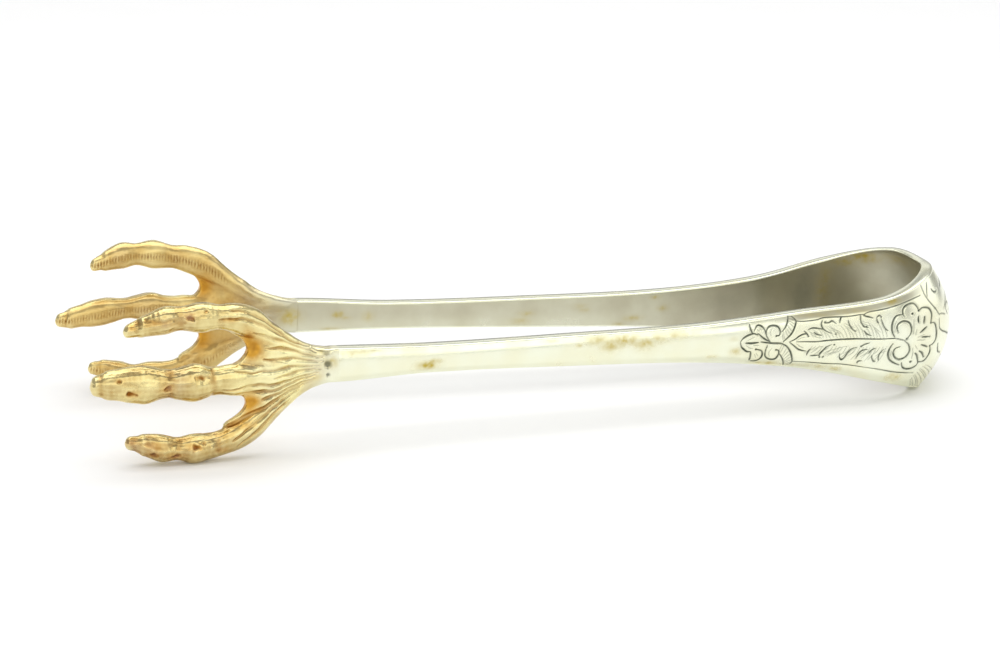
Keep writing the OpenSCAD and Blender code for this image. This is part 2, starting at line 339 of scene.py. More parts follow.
# Fine lines that fill the acanthus: each leaves the rib and leans towards the claws.
RIB, LEAF_TIP = 0.75, 34.5
for root in np.arange(19.4, 33.6, 0.62):
    lobe = 0.5 + 0.42 * abs(np.sin(1.35 * root + 0.4))
    for up, reach in ((1, 0.16 * (LEAF_TIP - root) + 1.6), (-1, 0.13 * (LEAF_TIP - root) + 1.5)):
        from_z, to_z = RIB * up, up * (RIB + lobe * reach)
        SHADING.append([(root, from_z), (root + 0.55, 0.5 * (from_z + to_z) + 0.1 * up), (root + 1.5, to_z)])
# Tarnish spots, as (a, height, radius along, radius across, strength).
SPOTS = [
    (19, 7.7, 1.4, .7, .75), (17.2, -6.9, 1.5, .8, .6), (28.2, -5.2, .9, .45, .9), (31.2, -4.8, 1.4, .4, .4),
    (27.5, 5.7, 6, .7, .3), (33, 4.9, 8, .5, .25), (36, -4.6, 8, .5, .3), (48, -1.5, 1.3, .9, .45),
    (52.5, -2.3, 1.2, .4, .35), (43.4, -4.4, 1.8, .6, .7), (41, -4.2, 1.6, .5, .6), (48.4, 1, .9, .5, .3),
    (59.5, 2, 3, .6, .4), (63.5, 1.4, 2.2, .8, .5), (66, .8, 1.9, 1, .75), (69.8, 1.5, 2.6, 1, .75),
    (72.4, .9, 1.9, 1, .7), (75, 1.8, 2.2, .8, .5), (78.5, 1.1, .45, .3, .8), (84, 2.1, 1.5, .4, .3),
    (106.4, -.9, 1.7, .75, .95), (105.2, -.3, 1.2, .5, .7), (116.8, 2.4, 1.4, .35, .5), (120, 2.2, 3, .6, .5),
    (124.2, .9, 1.5, 1.1, .6), (125.5, 2.7, 2.6, .7, .6), (127, -1.5, 1.6, .7, .35),
]
# The same for the inner faces.
SPOTS_IN = [
    (124, 0, 1.7, 1.4, .8), (115.2, .3, .9, .6, .8), (113.8, -.3, .6, .35, .5), (109.8, -.1, 1, .9, .4),
    (116.5, -2.4, 1.5, .3, .5), (81, -1.6, 1.6, .7, .35), (79.8, -.2, 1.3, .5, .4),
    (68.5, .3, .7, .35, .5), (69.5, 1, 1.4, .5, .2), (61.8, -2.7, .9, .4, .5), (59, -1.6, 1.5, .5, .45),
    (54.8, 2.4, .7, .3, .8), (53, .2, .8, .5, .6), (12, 8.9, 2.4, .9, .9), (15.5, 7.6, 2.6, .8, .6),
    (19, 2, 1.6, 6, .35), (6, 9.6, 3, .7, .5),
]
# The same for the painted shade: broad dark clouds inside the bow.
SHADE_IN = [
    (23, 1, 3.2, 5, .3), (11, -4, 4, 4, .2), (31, -3, 3, 2.5, .14), (40, 1, 5, 2.5, .12), (5, 5, 3, 3, .2),
]


def spots_at(a, z, spots):
    """How tarnished each point is, from 0 to 1."""
    out = np.zeros(a.shape)
    for along, up, wide, high, strong in spots:
        out = np.maximum(out, strong * np.exp(-(((a - along) / wide) ** 2 + ((z - up) / high) ** 2)))
    return out


def inner_grey(a, share):
    """How grey the inner face is, partly its duller oxidised finish and partly painted shade: most near the
    bow, and less towards its lower edge further out.
    """
    return 1 - 0.12 * ease(42, 62, a) - 0.22 * ease(50, 70, a) * ease(0.2, -0.8, share)


def strap(name, side):
    """Half of the spring strap: from the middle of the crown, round the bow and down one arm."""
    # The strap ends a little way inside the claw.
    strap_to = ARM_LEN + BOW_ARC - 0.6
    rows = np.concatenate([
        np.linspace(0, ENGRAVED_TO, ENGRAVED_ROWS), np.linspace(ENGRAVED_TO, strap_to, PLAIN_ROWS)[1:]
    ])
    a = rows[:, None]
    half_h = curve(HALF_H, a)
    turn = np.minimum(a / BOW_R, np.pi / 2)
    s = np.maximum(a - BOW_ARC, 0)
    on_bow = a < BOW_ARC
    crown = np.cos(turn).clip(0) ** 1.5
    base = np.where(on_bow, BOW_R, curve(HALF_GAP, s))
    thick = ARM_T - (ARM_T - RIM_T) * np.cos(turn) ** 2
    dome = np.where(on_bow, SIDE_DOME + (CROWN_DOME - SIDE_DOME) * crown, curve(ARM_DOME, s))
    hollow = ARM_DISH + (CROWN_HOLLOW - ARM_DISH) * crown

    flat_h = half_h - RIM_ROUND
    across = np.linspace(-1, 1, OUTER_N)[None, :]
    z_out = flat_h * across
    bevel_on = ease(9, 14, a) * (1 - 0.6 * ease(45, 70, a))
    bevel_w = np.minimum(BEVEL_W, 0.42 * half_h)
    into_margin = np.maximum(np.abs(z_out) - (half_h - bevel_w), 0) / bevel_w
    drop = BEVEL_DROP * bevel_on * into_margin**1.3 * bevel_w / BEVEL_W
    r_out = base + thick + dome * (1 - (z_out / half_h) ** 2) - drop
    angle = np.linspace(0, np.pi / 2, RIM_N + 2)[None, 1:-1]

    def rim(sign):
        edge = r_out[:, -1:] - RIM_ROUND
        inner = base + RIM_ROUND
        first = (edge + RIM_ROUND * np.cos(angle), flat_h + RIM_ROUND * np.sin(angle))
        second = (inner - RIM_ROUND * np.sin(angle), flat_h + RIM_ROUND * np.cos(angle))
        r = np.concatenate([first[0], second[0]], 1)
        z = np.concatenate([first[1], second[1]], 1)
        return (r, z) if sign > 0 else (r[:, ::-1], -z[:, ::-1])

    z_in = flat_h * np.linspace(1, -1, INNER_N)[None, :]
    r_in = base + hollow * (1 - (z_in / half_h) ** 2)
    top, bottom = rim(1), rim(-1)

    # The engraving is cut into the outer face only.
    grid_a = np.repeat(a, OUTER_N, 1)
    flat_a, flat_z = grid_a.ravel(), z_out.ravel()
    bold = LEAF + VOLUTES + PALMETTE + [BAND_LOW, BAND_TOP]
    slender = ACANTHUS_TIP + FRONDS_TOP + FRONDS_LOW + CROWN + [BAND_LOW_IN, BAND_TOP_IN]
    deep = cut_depth(flat_a, flat_z, bold, CUT_W, 0.6)
    thin = cut_depth(flat_a, flat_z, slender, THIN_W, 0.6)
    light = cut_depth(flat_a, flat_z, SHADING + FAN, FINE_W, 0.6)
    edge = cut_depth(flat_a, flat_z, BORDER, BORDER_W, 0.4)
    thin = np.maximum(thin, 0.9 * edge)
    halo = cut_depth(flat_a, flat_z, bold + FRONDS_TOP + FRONDS_LOW, HALO_W, 0.3)
    dots = np.zeros(flat_a.shape)
    for along, up, radius in BLOBS:
        dots = np.maximum(dots, 1 - np.hypot(flat_a - along, flat_z - up) / radius)
    deep = np.maximum(deep, dots)
    cut = np.maximum.reduce([
        CUT_DEEP * ease(0, 1, deep), THIN_DEEP * ease(0, 1, thin), FINE_DEEP * ease(0, 1, light)
    ])
    patina_and_shade = np.maximum.reduce([
        CUT_DARK * ease(0.1, 0.75, deep), CUT_DARK * ease(0.1, 0.75, thin), FINE_DARK * ease(0.1, 0.9, light),
        HALO_DARK * halo
    ])
    r_out = r_out - cut.reshape(r_out.shape)

    r = np.concatenate([r_out, top[0], r_in, bottom[0]], 1)
    z = np.concatenate([z_out, top[1], z_in, bottom[1]], 1)
    n = r.shape[1]
    x = np.where(on_bow, r * np.cos(turn), -s)
    y = np.where(on_bow, r * np.sin(turn), r) * side
    points = np.stack([x, y, z], -1).reshape(-1, 3)

    # Painted shade: the upper margin of the engraved part is darker than the panel, standing in for the
    # darker surroundings that its tilted bevel reflects.
    painted_margin_shade = ease(0.05, 0.3, into_margin) * (z_out > 0) * ease(12, 17, a) * (1 - ease(34, 44, a))
    patina_and_shade_grid = np.zeros(r.shape)
    patina_and_shade_grid[:, :OUTER_N] = np.maximum(patina_and_shade.reshape(r_out.shape), MARGIN_SHADE_DARK * painted_margin_shade)
    tarnish = np.zeros(r.shape)
    tarnish[:, :OUTER_N] = spots_at(grid_a, z_out, SPOTS)
    inner = slice(OUTER_N + 2 * RIM_N, OUTER_N + 2 * RIM_N + INNER_N)
    grid_in = np.repeat(a, INNER_N, 1)
    tarnish[:, inner] = spots_at(grid_in, z_in, SPOTS_IN)
    inside = np.zeros(r.shape)
    inside[:, inner] = inner_grey(a, z_in / half_h)
    # The painted margin shade also takes some of the inner faces' grey.
    inside[:, :OUTER_N] = 0.85 * painted_margin_shade
    # Painted shade: dark clouds inside the bow, in the patina colour.
    patina_and_shade_grid[:, inner] = spots_at(grid_in, z_in, SHADE_IN)

    m = len(rows)
    faces = []
    for i in range(m - 1):
        for j in range(n):
            k = (j + 1) % n
            quad = (i * n + j, i * n + k, (i + 1) * n + k, (i + 1) * n + j)
            faces.append(quad if side > 0 else quad[::-1])
    ends = [tuple(range(n)), tuple((m - 1) * n + j for j in range(n))]
    faces.append(ends[0][::-1] if side > 0 else ends[0])
    faces.append(ends[1] if side > 0 else ends[1][::-1])
    piece = make_mesh(name, points, faces,
                      {"patina_and_shade": patina_and_shade_grid.ravel(), "tarnish": tarnish.ravel(), "inside": inside.ravel()})

    # The two halves meet at the middle of the crown, so the normals there are those of the next
    # row with nothing sideways in them.
    normals = np.zeros(len(points) * 3, np.float32)
    piece.data.vertices.foreach_get("normal", normals)
    normals = normals.reshape(-1, 3)
    normals[:n] = normals[n : 2 * n] * [1, 0, 1]
    set_normals(piece, normals)
    return piece


# ---------------------------------------------------------------- the claws
# Tables are by s. Half height and half thickness of the palm, and how far out its middle is.
WRIST_FROM, PALM_END = 102.2, 120
CROTCH_Z, CROTCH_HALF = 4.7, 2.6
WEB_DEEP, WEB_OUT = 2.2, 0.4
PALM_H = [
    [102.2, 2.5], [103, 3.1], [104, 3.14], [107, 3.7], [110, 4.9], [113, 7.0], [116, 9.4], [118.5, 10.4],
    [120, 10],
]
PALM_T = [[102.2, 1.1], [103, 1.58], [112, 1.75], [117, 1.6], [120, 1]]
PALM_OUT = [[100, 14.7], [104, 14.98], [110, 16.3], [115, 18], [120, 19.4]]
TOE_OUT = PALM_OUT[:-1] + [[120, 19.4], [129, 20.2], [145.6, 19.2]]
# Each limb runs from the wrist to a toe's tip. Height of its axis on the left (-1) and right (1) claw:
LIMBS = {
    "upper": {
        -1: [
            [104, .8], [107, 1.9], [110, 3.3], [114, 5.9], [117, 8], [120, 9.6], [124, 10.6],
            [129, 10.7], [134, 10.2], [140.4, 8.6],
        ],
        1: [
            [104, .8], [107, 1.8], [110, 3], [114, 5.4], [117, 7.5], [120, 9], [124, 10.1], [129, 10.7],
            [134, 10.5], [139.5, 9.2],
        ],
    },
    "middle": {
        -1: [[104, 0], [112, -.2], [120, -.4], [145.6, -.7]],
        1: [[104, 0], [112, .5], [120, .8], [129, 1], [137, .4], [145.6, -.7]],
    },
    "lower": {
        -1: [
            [104, -.8], [107, -1.9], [110, -3.4], [114, -6.2], [117, -8.3], [120, -9.8], [124, -11.4],
            [128, -12], [134, -11.7], [139.8, -10.7],
        ],
        1: [
            [104, -.8], [107, -1.8], [110, -3.2], [114, -5.9], [117, -8], [120, -9.6], [124, -11.3],
            [128, -12], [134, -11.4], [139.5, -9.9],
        ],
    },
}
# Half heights and half thicknesses of the limbs.
OUTER_H = [
    [104, 1.7], [110, 1.8], [114, 2.2], [117, 2.75], [120, 2.85], [122, 2.55], [124.5, 2.2],
    [128, 2.62], [131, 2], [133.7, 2.42], [136.4, 1.95], [138.4, 1.85],
]
MIDDLE_H = [
    [104, 1.2], [110, 1.7], [115, 2.6], [120, 2.95], [125.4, 2.48], [128.8, 3.35], [132.8, 2.48],
    [136.6, 3.3], [141, 2.75], [144.2, 2.35],
]
OUTER_T = [
    [104, 1.2], [110, 1.5], [116, 1.9], [120, 2.05], [124.5, 1.8], [128, 2.2], [131, 1.7], [133.7, 2.1],
    [136.4, 1.6], [138.4, 1.55],
]
MIDDLE_T = [
    [104, 1.2], [110, 1.7], [116, 2], [120, 2.2], [125.4, 2], [128.8, 2.5], [132.8, 2], [136.6, 2.4],
    [141, 2.05], [144.2, 1.85],
]
# The right claw's middle toe is slimmer than the left's.
MIDDLE_SHARE = {-1: 1, 1: 0.76}
OUTER_TALON_R, MIDDLE_TALON_R = 1.35, 1.85
# Where the skin of a toe ends, and where its talon ends.
ENDS = {
    "upper": {-1: (138.6, 140.4), 1: (137.9, 139.5)},
    "middle": {-1: (144.2, 145.62), 1: (144.1, 145.6)},
    "lower": {-1: (138.1, 139.8), 1: (138, 139.6)},
}

# Grooves between the tendons on the back of a palm, as (s, height) in mm.
TENDONS = [
    [(123, 11.9), (120.5, 11.6), (118, 10.5), (115.5, 8.7), (113, 6.7)],
    [(125, 10.6), (121.5, 10.6), (119, 9.9), (116.5, 8.6), (114, 7), (111, 5.1), (108, 3.7)],
    [(119, 7.9), (116.5, 6.9), (114, 6), (112, 5.1), (109.5, 3.9), (107, 2.9)],
    [(116.5, 4.8), (115, 4.6), (113.5, 4.4), (111.5, 3.9), (110, 3.2), (107.5, 2.3), (105.5, 1.9)],
    [(117, 2.9), (115.5, 2.7), (113, 2.5), (110.5, 2.2), (107.8, 1.6), (105.5, 1.2)],
    [(122, 1.5), (119, 1), (117, 1.1), (115.5, .8), (112.5, .9), (109.5, .8), (106, .6)],
    [(115, -.6), (113, -.5), (111, -.1), (109, .1), (106, 0)],
    [
        (124, -1.7), (121.5, -1.7), (119.5, -1.2), (117.5, -1.3), (116, -1.7), (114, -1.8), (111, -1.2),
        (106.5, -.5),
    ],
    [(121, -2.8), (118, -2.6), (115, -2.9), (112.5, -2.3), (109.5, -1.5), (107, -1)],
    [(117, -4.1), (115.5, -3.8), (112.5, -3.1), (110, -2.3), (107, -1.6)],
    [
        (125, -9.4), (122.5, -8.3), (120.5, -7.4), (118.5, -6.4), (116, -5.4), (114, -4.4), (111, -3.1),
        (107.5, -2.1),
    ],
    [(122, -10.6), (119.5, -9), (117.5, -7.6), (115, -6), (112.5, -4.5), (110, -3.2)],
    [(121, -11.6), (118.5, -10), (116.5, -8.4), (114, -6.3), (111.5, -4.6)],
]
# Folds across the toes.
FOLDS = [
    [(125.5, 1.8), (125.6, .2), (125.4, -1.4), (125.7, -2.9)],
    [(126.3, .9), (127.5, .8), (128.7, 1)],
    [(132.6, 1.8), (132.9, 1)],
    [(132.5, -1.8), (132.8, -2.9)],
    [(143.9, 1.2), (144.1, -.4), (143.9, -2)],
    [(124.2, 10.6), (124.5, 9.8), (124.3, 9)],
    [(131.4, 11.4), (131.1, 10)],
    [(138.2, 10.6), (138.4, 9.6), (138.3, 8.6)],
    [(124.4, -10.4), (124.5, -12.2)],
    [(130.9, -10.4), (131.1, -11.4)],
    [(138.2, -9.8), (138.4, -11), (138.3, -12.2)],
    [(137, 10.7), (134.6, 10.5), (132.4, 10.7), (130.6, 10.4)],
    [(136.5, -10.6), (134, -10.9), (131.5, -10.6)],
]
# Pits left in the casting, as (s, height, radius, depth).
PITS = [
    (129.8, 11.3, .75, .4), (127.1, 12.2, .3, .2), (133.2, -.9, .75, .35), (139.2, -1.6, .7, .35),
    (138.3, -1.9, .3, .25), (141.2, .5, .5, .2), (135.3, -12.5, .6, .3), (131.6, -12.9, .7, .35),
    (128.3, -11.2, .9, .35), (126.9, -10.8, .5, .2), (123.5, -7.6, .35, .2), (127.6, .9, .6, .2),
]
# Half widths of the grooves and folds, then depth or height of each kind of relief.
TENDON_W, FOLD_W = 0.72, 1.15
TENDON_DEEP, FOLD_DEEP, DENT_DEEP, SKIN_IN = 0.32, 0.13, 0.22, 0.03
LUMP_H, GRAIN_H, WRINKLE_H, STREAK_H, TEETH_H = 0.15, 0.02, 0.03, 0.014, 0.14
# Spacing of the crosswise ridges inside the toes.
TEETH_STEP = 0.52
# Points round a limb, and the voxels and smoothing that join the limbs into one skin.
RING_N = 64
VOXEL, SMOOTH_PASSES = 0.16, 8
# How far a claw's skin stands over the strap where they meet, and how deep its end is tucked in.
HUG, TUCK = 0.03, 0.2
# Red-brown marks in the hollows of the gilding: painted shade where the palm parts into toes, and stains at
# the pits along the toes, as (s, height, radius along, radius across, strength).
STAINS_AND_SHADE = [
    (118.4, 4.8, 1.9, 1.6, .9), (119.8, 7.2, 1.2, 1.5, .8), (117, 3.4, 1, .6, .5),
    (114.6, 2.2, 1.2, .5, .4), (118.6, -4.2, 1.8, .8, .7), (120.6, -8, 2.4, .8, .8),
    (117.4, -6, 1.4, .5, .4), (123, -9.3, 2, 1, .4), (125.9, .4, .7, 1.1, .5), (127.9, .9, 1.1, .4, .6),
    (133.1, -.9, 1.1, .8, .9), (139, -1.7, 1.1, .7, .8), (141.2, .5, .8, .5, .6),
    (129.8, 11.2, 1, .7, 1), (137, 10.2, 2.2, .6, .5), (133, 10, 2, .6, .45), (139.2, 9.4, .6, .6, .8),
    (123, 10.4, 1.6, .4, .6), (127.2, 12, .7, .3, .5), (128.3, -11.2, 1.4, .7, .9),
    (131.7, -12.8, 1.6, .7, .9), (135.3, -12.3, 1.3, .7, .8), (139.1, -10.3, .8, .7, .9),
    (123.5, -12.1, 1.6, .4, .5), (136, -10.9, 2.2, .9, .4), (130.5, -9.9, 2.4, .6, .35),
    (137.5, -12.3, .6, .9, .5),
]
# Two plain worn punch dents at the wrist, with nothing in them, as (s, height, radius).
DENTS = [(104.8, .6, .95), (104.7, -1.4, .45)]


def ring(s, y, z, t, h, square, flat=0.86):
    """Oval ring across a limb. It is squarer as square goes over 2, and its inner side is flatter."""
    angle = np.linspace(0, 2 * np.pi, RING_N + 1)[:-1]
    c, d = np.cos(angle), np.sin(angle)
    c = np.sign(c) * np.abs(c) ** (2 / square)
    d = np.sign(d) * np.abs(d) ** (2 / square)
    return np.stack([np.full(RING_N, -s), y + t * np.where(c > 0, c, flat * c), z + h * d], 1)


def loft(rings):
    """Points and faces of a closed skin over rings, with strips across both ends."""
    n = RING_N
    faces = [
        (j * n + i, j * n + (i + 1) % n, (j + 1) * n + (i + 1) % n, (j + 1) * n + i)
        for j in range(len(rings) - 1) for i in range(n)
    ]
    bottom = 3 * n // 4
    for first, turned in ((0, True), ((len(rings) - 1) * n, False)):
        for k in range(n // 2):
            a, b = first + (bottom + k) % n, first + (bottom + k + 1) % n
            c, d = first + (bottom - k - 1) % n, first + (bottom - k) % n
            strip = tuple(dict.fromkeys((a, b, c, d)))
            faces.append(strip[::-1] if turned else strip)
    return np.concatenate(rings), faces


def limb_sizes(level, side, s):
    """Height of the axis, half height and half thickness of a limb at distances s."""
    middle = level == "middle"
    share = MIDDLE_SHARE[side] if middle else 1
    high = curve(MIDDLE_H if middle else OUTER_H, s) * (1 + (share - 1) * ease(112, 122, s))
    return curve(LIMBS[level][side], s), high, curve(MIDDLE_T if middle else OUTER_T, s)


def claw_solids(side):
    """The palm, toes and talons as overlapping closed skins, drawn for the +y side."""
    solids = []
    s = np.linspace(WRIST_FROM, PALM_END, 34)
    square = 4 - 2 * ease(103, 110, s)
    flat = 1 - 0.14 * ease(103, 110, s)
    palm, faces = loft([
        ring(*v) for v in zip(s, curve(PALM_OUT, s), 0 * s, curve(PALM_T, s), curve(PALM_H, s), square, flat)
    ])
    # The web between two toes ends in a round crotch: least far out midway between them.
    from_crotch = np.abs(np.abs(palm[:, 2]) - CROTCH_Z) / CROTCH_HALF
    palm[:, 0] -= (WEB_DEEP * np.clip(from_crotch, 0, 1.3) ** 2 - WEB_OUT) * ease(112, PALM_END, -palm[:, 0])
    solids.append((palm, faces))
    for level in LIMBS:
        middle = level == "middle"
        end, tip = ENDS[level][side]
        s = np.linspace(ARM_LEN, end, 60)
        z, high, thick = limb_sizes(level, side, s)
        left = np.clip((end - s) / 1.3, 0, 1)
        round_off = np.sqrt(1 - (1 - left) ** 2).clip(0.25)
        solids.append(loft([
            ring(*v, 2.1) for v in zip(s, curve(TOE_OUT, s), z, thick * round_off, high * round_off)
        ]))
        s = np.linspace(end - 2.2, tip, 14)
        z, _, _ = limb_sizes(level, side, s)
        radius = MIDDLE_TALON_R * MIDDLE_SHARE[side] if middle else OUTER_TALON_R
        left = np.clip((tip - s) / (tip - end + 0.6), 0, 1)
        taper = (0.72 + 0.28 * left) * np.sqrt(1 - (1 - np.clip((tip - s) / 0.8, 0, 1)) ** 2).clip(0.15)
        droop = 0.25 * (1 - left) ** 2
        solids.append(loft([
            ring(*v, 2) for v in zip(s, curve(TOE_OUT, s), z - droop, radius * taper, radius * 1.1 * taper)
        ]))
    return solids


def neighbour_mean(values, edges, count):
    """Mean of each point's neighbours' values."""
    out = np.zeros_like(values)
    np.add.at(out, edges[:, 0], values[edges[:, 1]])
    np.add.at(out, edges[:, 1], values[edges[:, 0]])
    return out / count.reshape(-1, *([1] * (values.ndim - 1)))


def relax(values, edges, count, keep, passes):
    """The values after some passes that keep a share of each and take the rest from its neighbours."""
    for _ in range(passes):
        values = keep * values + (1 - keep) * neighbour_mean(values, edges, count)
    return values


def hug_strap(p, n):
    """Lay the wrist end of a claw along the strap's own surface, so that no step shows between them."""
    s = -p[:, 0]
    along = np.clip(s, 0, ARM_LEN)
    half_h = curve(HALF_H, along + BOW_ARC)
    base = curve(HALF_GAP, along)
    arch = 1 - np.clip(p[:, 2] / half_h, -1, 1) ** 2
    outer = base + ARM_T + curve(ARM_DOME, along) * arch
    inner = base + ARM_DISH * arch
    middle, half_t = (outer + inner) / 2, (outer - inner) / 2
    q = np.stack([np.abs(p[:, 1] - middle) - (half_t - RIM_ROUND), np.abs(p[:, 2]) - (half_h - RIM_ROUND)], 1)
    beyond = np.maximum(q, 0)
    far = np.linalg.norm(beyond, axis=1)
    gap = far + np.minimum(q.max(1), 0) - RIM_ROUND
    flat = np.where(q[:, :1] > q[:, 1:], [1.0, 0.0], [0.0, 1.0])
    lean = np.where(far[:, None] > 1e-6, beyond / np.maximum(far, 1e-6)[:, None], flat)
    away = np.stack([
        np.zeros(len(p)), lean[:, 0] * np.sign(p[:, 1] - middle), lean[:, 1] * np.sign(p[:, 2])
    ], 1)
    hold = 1 - ease(103.2, 106.5, s)
    wanted = -TUCK + (TUCK + HUG) * ease(WRIST_FROM + 0.3, WRIST_FROM + 0.8, s)
    p = p + away * (hold * (wanted - gap))[:, None]
    hold = 1 - ease(103.2, 105, s)
    n = n * (1 - hold[:, None]) + away * hold[:, None]
    return p, n / np.linalg.norm(n, axis=1, keepdims=True).clip(1e-9)


def claw(name, side):
    """One gilt claw, joined into a single skin and then worked over: tendons, folds, pits and ridges."""
    points, faces = [], []
    for p, f in claw_solids(side):
        start = sum(len(q) for q in points)
        points.append(p)
        faces += [tuple(start + i for i in face) for face in f]
    mesh = bpy.data.meshes.new(name + "_core")
    mesh.from_pydata([tuple(p) for p in np.concatenate(points)], [], faces)
    core = bpy.data.objects.new(name + "_core", mesh)
    bpy.context.scene.collection.objects.link(core)
    remesh = core.modifiers.new("join", "REMESH")
    remesh.mode = "VOXEL"
    remesh.voxel_size = VOXEL
    done = bpy.data.meshes.new_from_object(core.evaluated_get(bpy.context.evaluated_depsgraph_get()))
    bpy.data.objects.remove(core)

    p = np.zeros(len(done.vertices) * 3)
    done.vertices.foreach_get("co", p)
    p = p.reshape(-1, 3)
    edges = np.zeros(len(done.edges) * 2, int)
    done.edges.foreach_get("vertices", edges)
    edges = edges.reshape(-1, 2)
    faces = [tuple(f.vertices) for f in done.polygons]
    count = np.bincount(edges.ravel(), minlength=len(p)).astype(float)
    p = relax(p, edges, count, 0.5, SMOOTH_PASSES)

    def normals_of(p):
        done.vertices.foreach_set("co", p.ravel())
        done.update()
        n = np.zeros(len(p) * 3)
        done.vertices.foreach_get("normal", n)
        return n.reshape(-1, 3)

    n = normals_of(p)
    s, y, z = -p[:, 0], p[:, 1], p[:, 2]
    outside = ease(-0.1, 0.45, n[:, 1])
    inside = ease(0.1, 0.6, -n[:, 1])

    # The limb that each point lies on, and how far round it.
    far = np.full(len(p), np.inf)
    off, centre = np.zeros(len(p)), np.zeros(len(p))
    for level in LIMBS:
        cz, high, thick = limb_sizes(level, side, s)
        d = np.hypot((y - curve(TOE_OUT, s)) / thick, (z - cz) / high)
        closer = d < far
        far = np.where(closer, d, far)
        off = np.where(closer, (z - cz) / high, off)
        centre = np.where(closer, z - cz, centre)
    on_toe = ease(119, 123, s)
    round_at = np.arctan2(off, np.where(n[:, 1] > 0, 1, -1) * np.sqrt(np.clip(1 - off**2, 0, 1)))

    lumps = noise_at(p, 2.4, 1)
    fine = noise_at(p * [0.35, 1, 1], 0.55, 2)
    grain = noise_at(p, 0.4, 3)
    # The right claw's marks sit a little lower than the left's, and lines waver.
    hand = 0.0 if side < 0 else 0.25
    sway = 0.2 * noise_at(p, 1.6, 4)
    tendon = (
        cut_depth(s, z + hand * 0.6 + sway, TENDONS, TENDON_W, 0.85)
        * outside * (0.85 + 0.5 * lumps) * (0.55 + 0.45 * ease(105, 112, s))
    )
    fold = cut_depth(s + sway, z + hand, FOLDS, FOLD_W, 0.6) * ease(-0.3, 0.2, n[:, 1])
    wrinkle = noise_at(p * [2.4, 0.5, 0.5], 0.9, 5) * on_toe * outside
    blotch = noise_at(p, 0.7, 6)
    pit = np.zeros(len(p))
    for along, up, radius, deep in PITS:
        close = np.hypot((s - along) / 1.3, z - up + hand) / radius + 0.75 * blotch
        pit = np.maximum(pit, deep * ease(0, 1, 1 - close) * outside)
    dent = np.zeros(len(p))
    for along, up, radius in DENTS:
        close = np.hypot(s - along, z - up) / radius + 0.3 * blotch
        dent = np.maximum(dent, outside * ease(0, 0.9, 1.15 - close))
    streak = np.cos(round_at * 17 + 2.2 * lumps)
    teeth = np.cos(2 * np.pi * (s / TEETH_STEP + 0.25 * grain))
    teeth_on = inside * np.exp(-(((centre + 0.1) / 0.5) ** 2)) * ease(114, 119, s) * (0.75 + 0.6 * lumps)

    push = (
        LUMP_H * lumps * ease(104, 108, s)
        + GRAIN_H * fine * ease(103, 108, s)
        + GRAIN_H * grain * ease(106, 112, s)
        - TENDON_DEEP * ease(0, 1, tendon)
        - FOLD_DEEP * ease(0, 1, fold)
        + WRINKLE_H * wrinkle
        - pit
        - DENT_DEEP * dent
        + STREAK_H * streak * on_toe * (1 - inside)
        + (TEETH_H * teeth - TEETH_H / 2) * teeth_on
    )
    p = p + n * (push - SKIN_IN)[:, None]
    n = normals_of(p)

    # Painted shade and painted highlight: hollows are darker and crests brighter, by how far each point lies
    # below its surroundings.
    soft = relax(p, edges, count, 0.4, 2)
    around = relax(soft, edges, count, 0.3, 16)
    hollow = ((around - soft) * n).sum(1)
    stains_and_shade = outside * spots_at(s, z + hand, STAINS_AND_SHADE)
    # Painted shade in the crotches where the toes part.
    crotch_shade = np.exp(-(((s - 119.3) / 1.6) ** 2)) * np.exp(-(((np.abs(z - 0.1) - 4.9) / 1.9) ** 2))
    on_palm = outside * (1 - on_toe)
    # The toes darken towards their tips, and the lower toe more.
    darker_toes = 0.22 * ease(124, 138, s) + 0.16 * ease(-7, -11, z) * ease(116, 126, s)
    # Painted shade in hollows, grooves, crotches, teeth gaps and on the inner side, with dirt in the pits and
    # the stains.
    shade_and_stain = np.clip(
        5 * hollow * (1 - 0.45 * on_palm) + 0.1 * ease(0.3, 1, tendon) + 0.1 * ease(0, 1, fold) + 1.3 * pit
        + 0.5 * stains_and_shade * (0.75 + blotch) + 0.15 * crotch_shade * (1 - 0.6 * inside)
        + 0.12 * inside * ease(110, 120, s) + 0.55 * teeth_on * ease(0, -1, teeth)
        + darker_toes * (0.8 + lumps) * outside + 0.15 * lumps,
        0, 1,
    )
    # A painted highlight on the middle of the back of the palm.
    palm_highlight = outside * np.exp(-(((s - 113.5) / 6) ** 2)) * np.exp(-(((z - 1) / 4.5) ** 2))
    # Painted highlight on the crests and the middle of the palm.
    crest_highlight = np.clip(-8 * hollow + palm_highlight, 0, 1)
    # Orange-brown: painted shade in the crotches, the stains, an orange cast on the inner side and the darker
    # toes.
    amber = np.clip(0.95 * crotch_shade + 0.8 * stains_and_shade + 0.22 * inside * ease(108, 116, s) + 0.2 * darker_toes, 0, 1)
    gold = ease(102, 111, s + 1.2 * lumps) * (1 - inside) + ease(103.3, 116, s + 1.2 * lumps) * inside
    gold = np.clip(gold - 0.1 * crest_highlight, 0, 1)
    a = s + BOW_ARC
    spots = np.where(inside > 0.5, spots_at(a, z, SPOTS_IN), spots_at(a, z, SPOTS))
    grey = inside * inner_grey(a, z / curve(HALF_H, a))

    p, n = hug_strap(p, n)
    p[:, 1] *= side
    n[:, 1] *= side
    if side < 0:
        faces = [f[::-1] for f in faces]
    bpy.data.meshes.remove(done)
    piece = make_mesh(name, p, faces, {
        "shade_and_stain": shade_and_stain, "crest_highlight": crest_highlight, "amber": amber, "gold": gold, "tarnish": spots, "inside": grey,
        "patina_and_shade": 0.7 * dent,
    })
    set_normals(piece, (to_row(n) - BOW_CENTRE) / MM)
    return piece


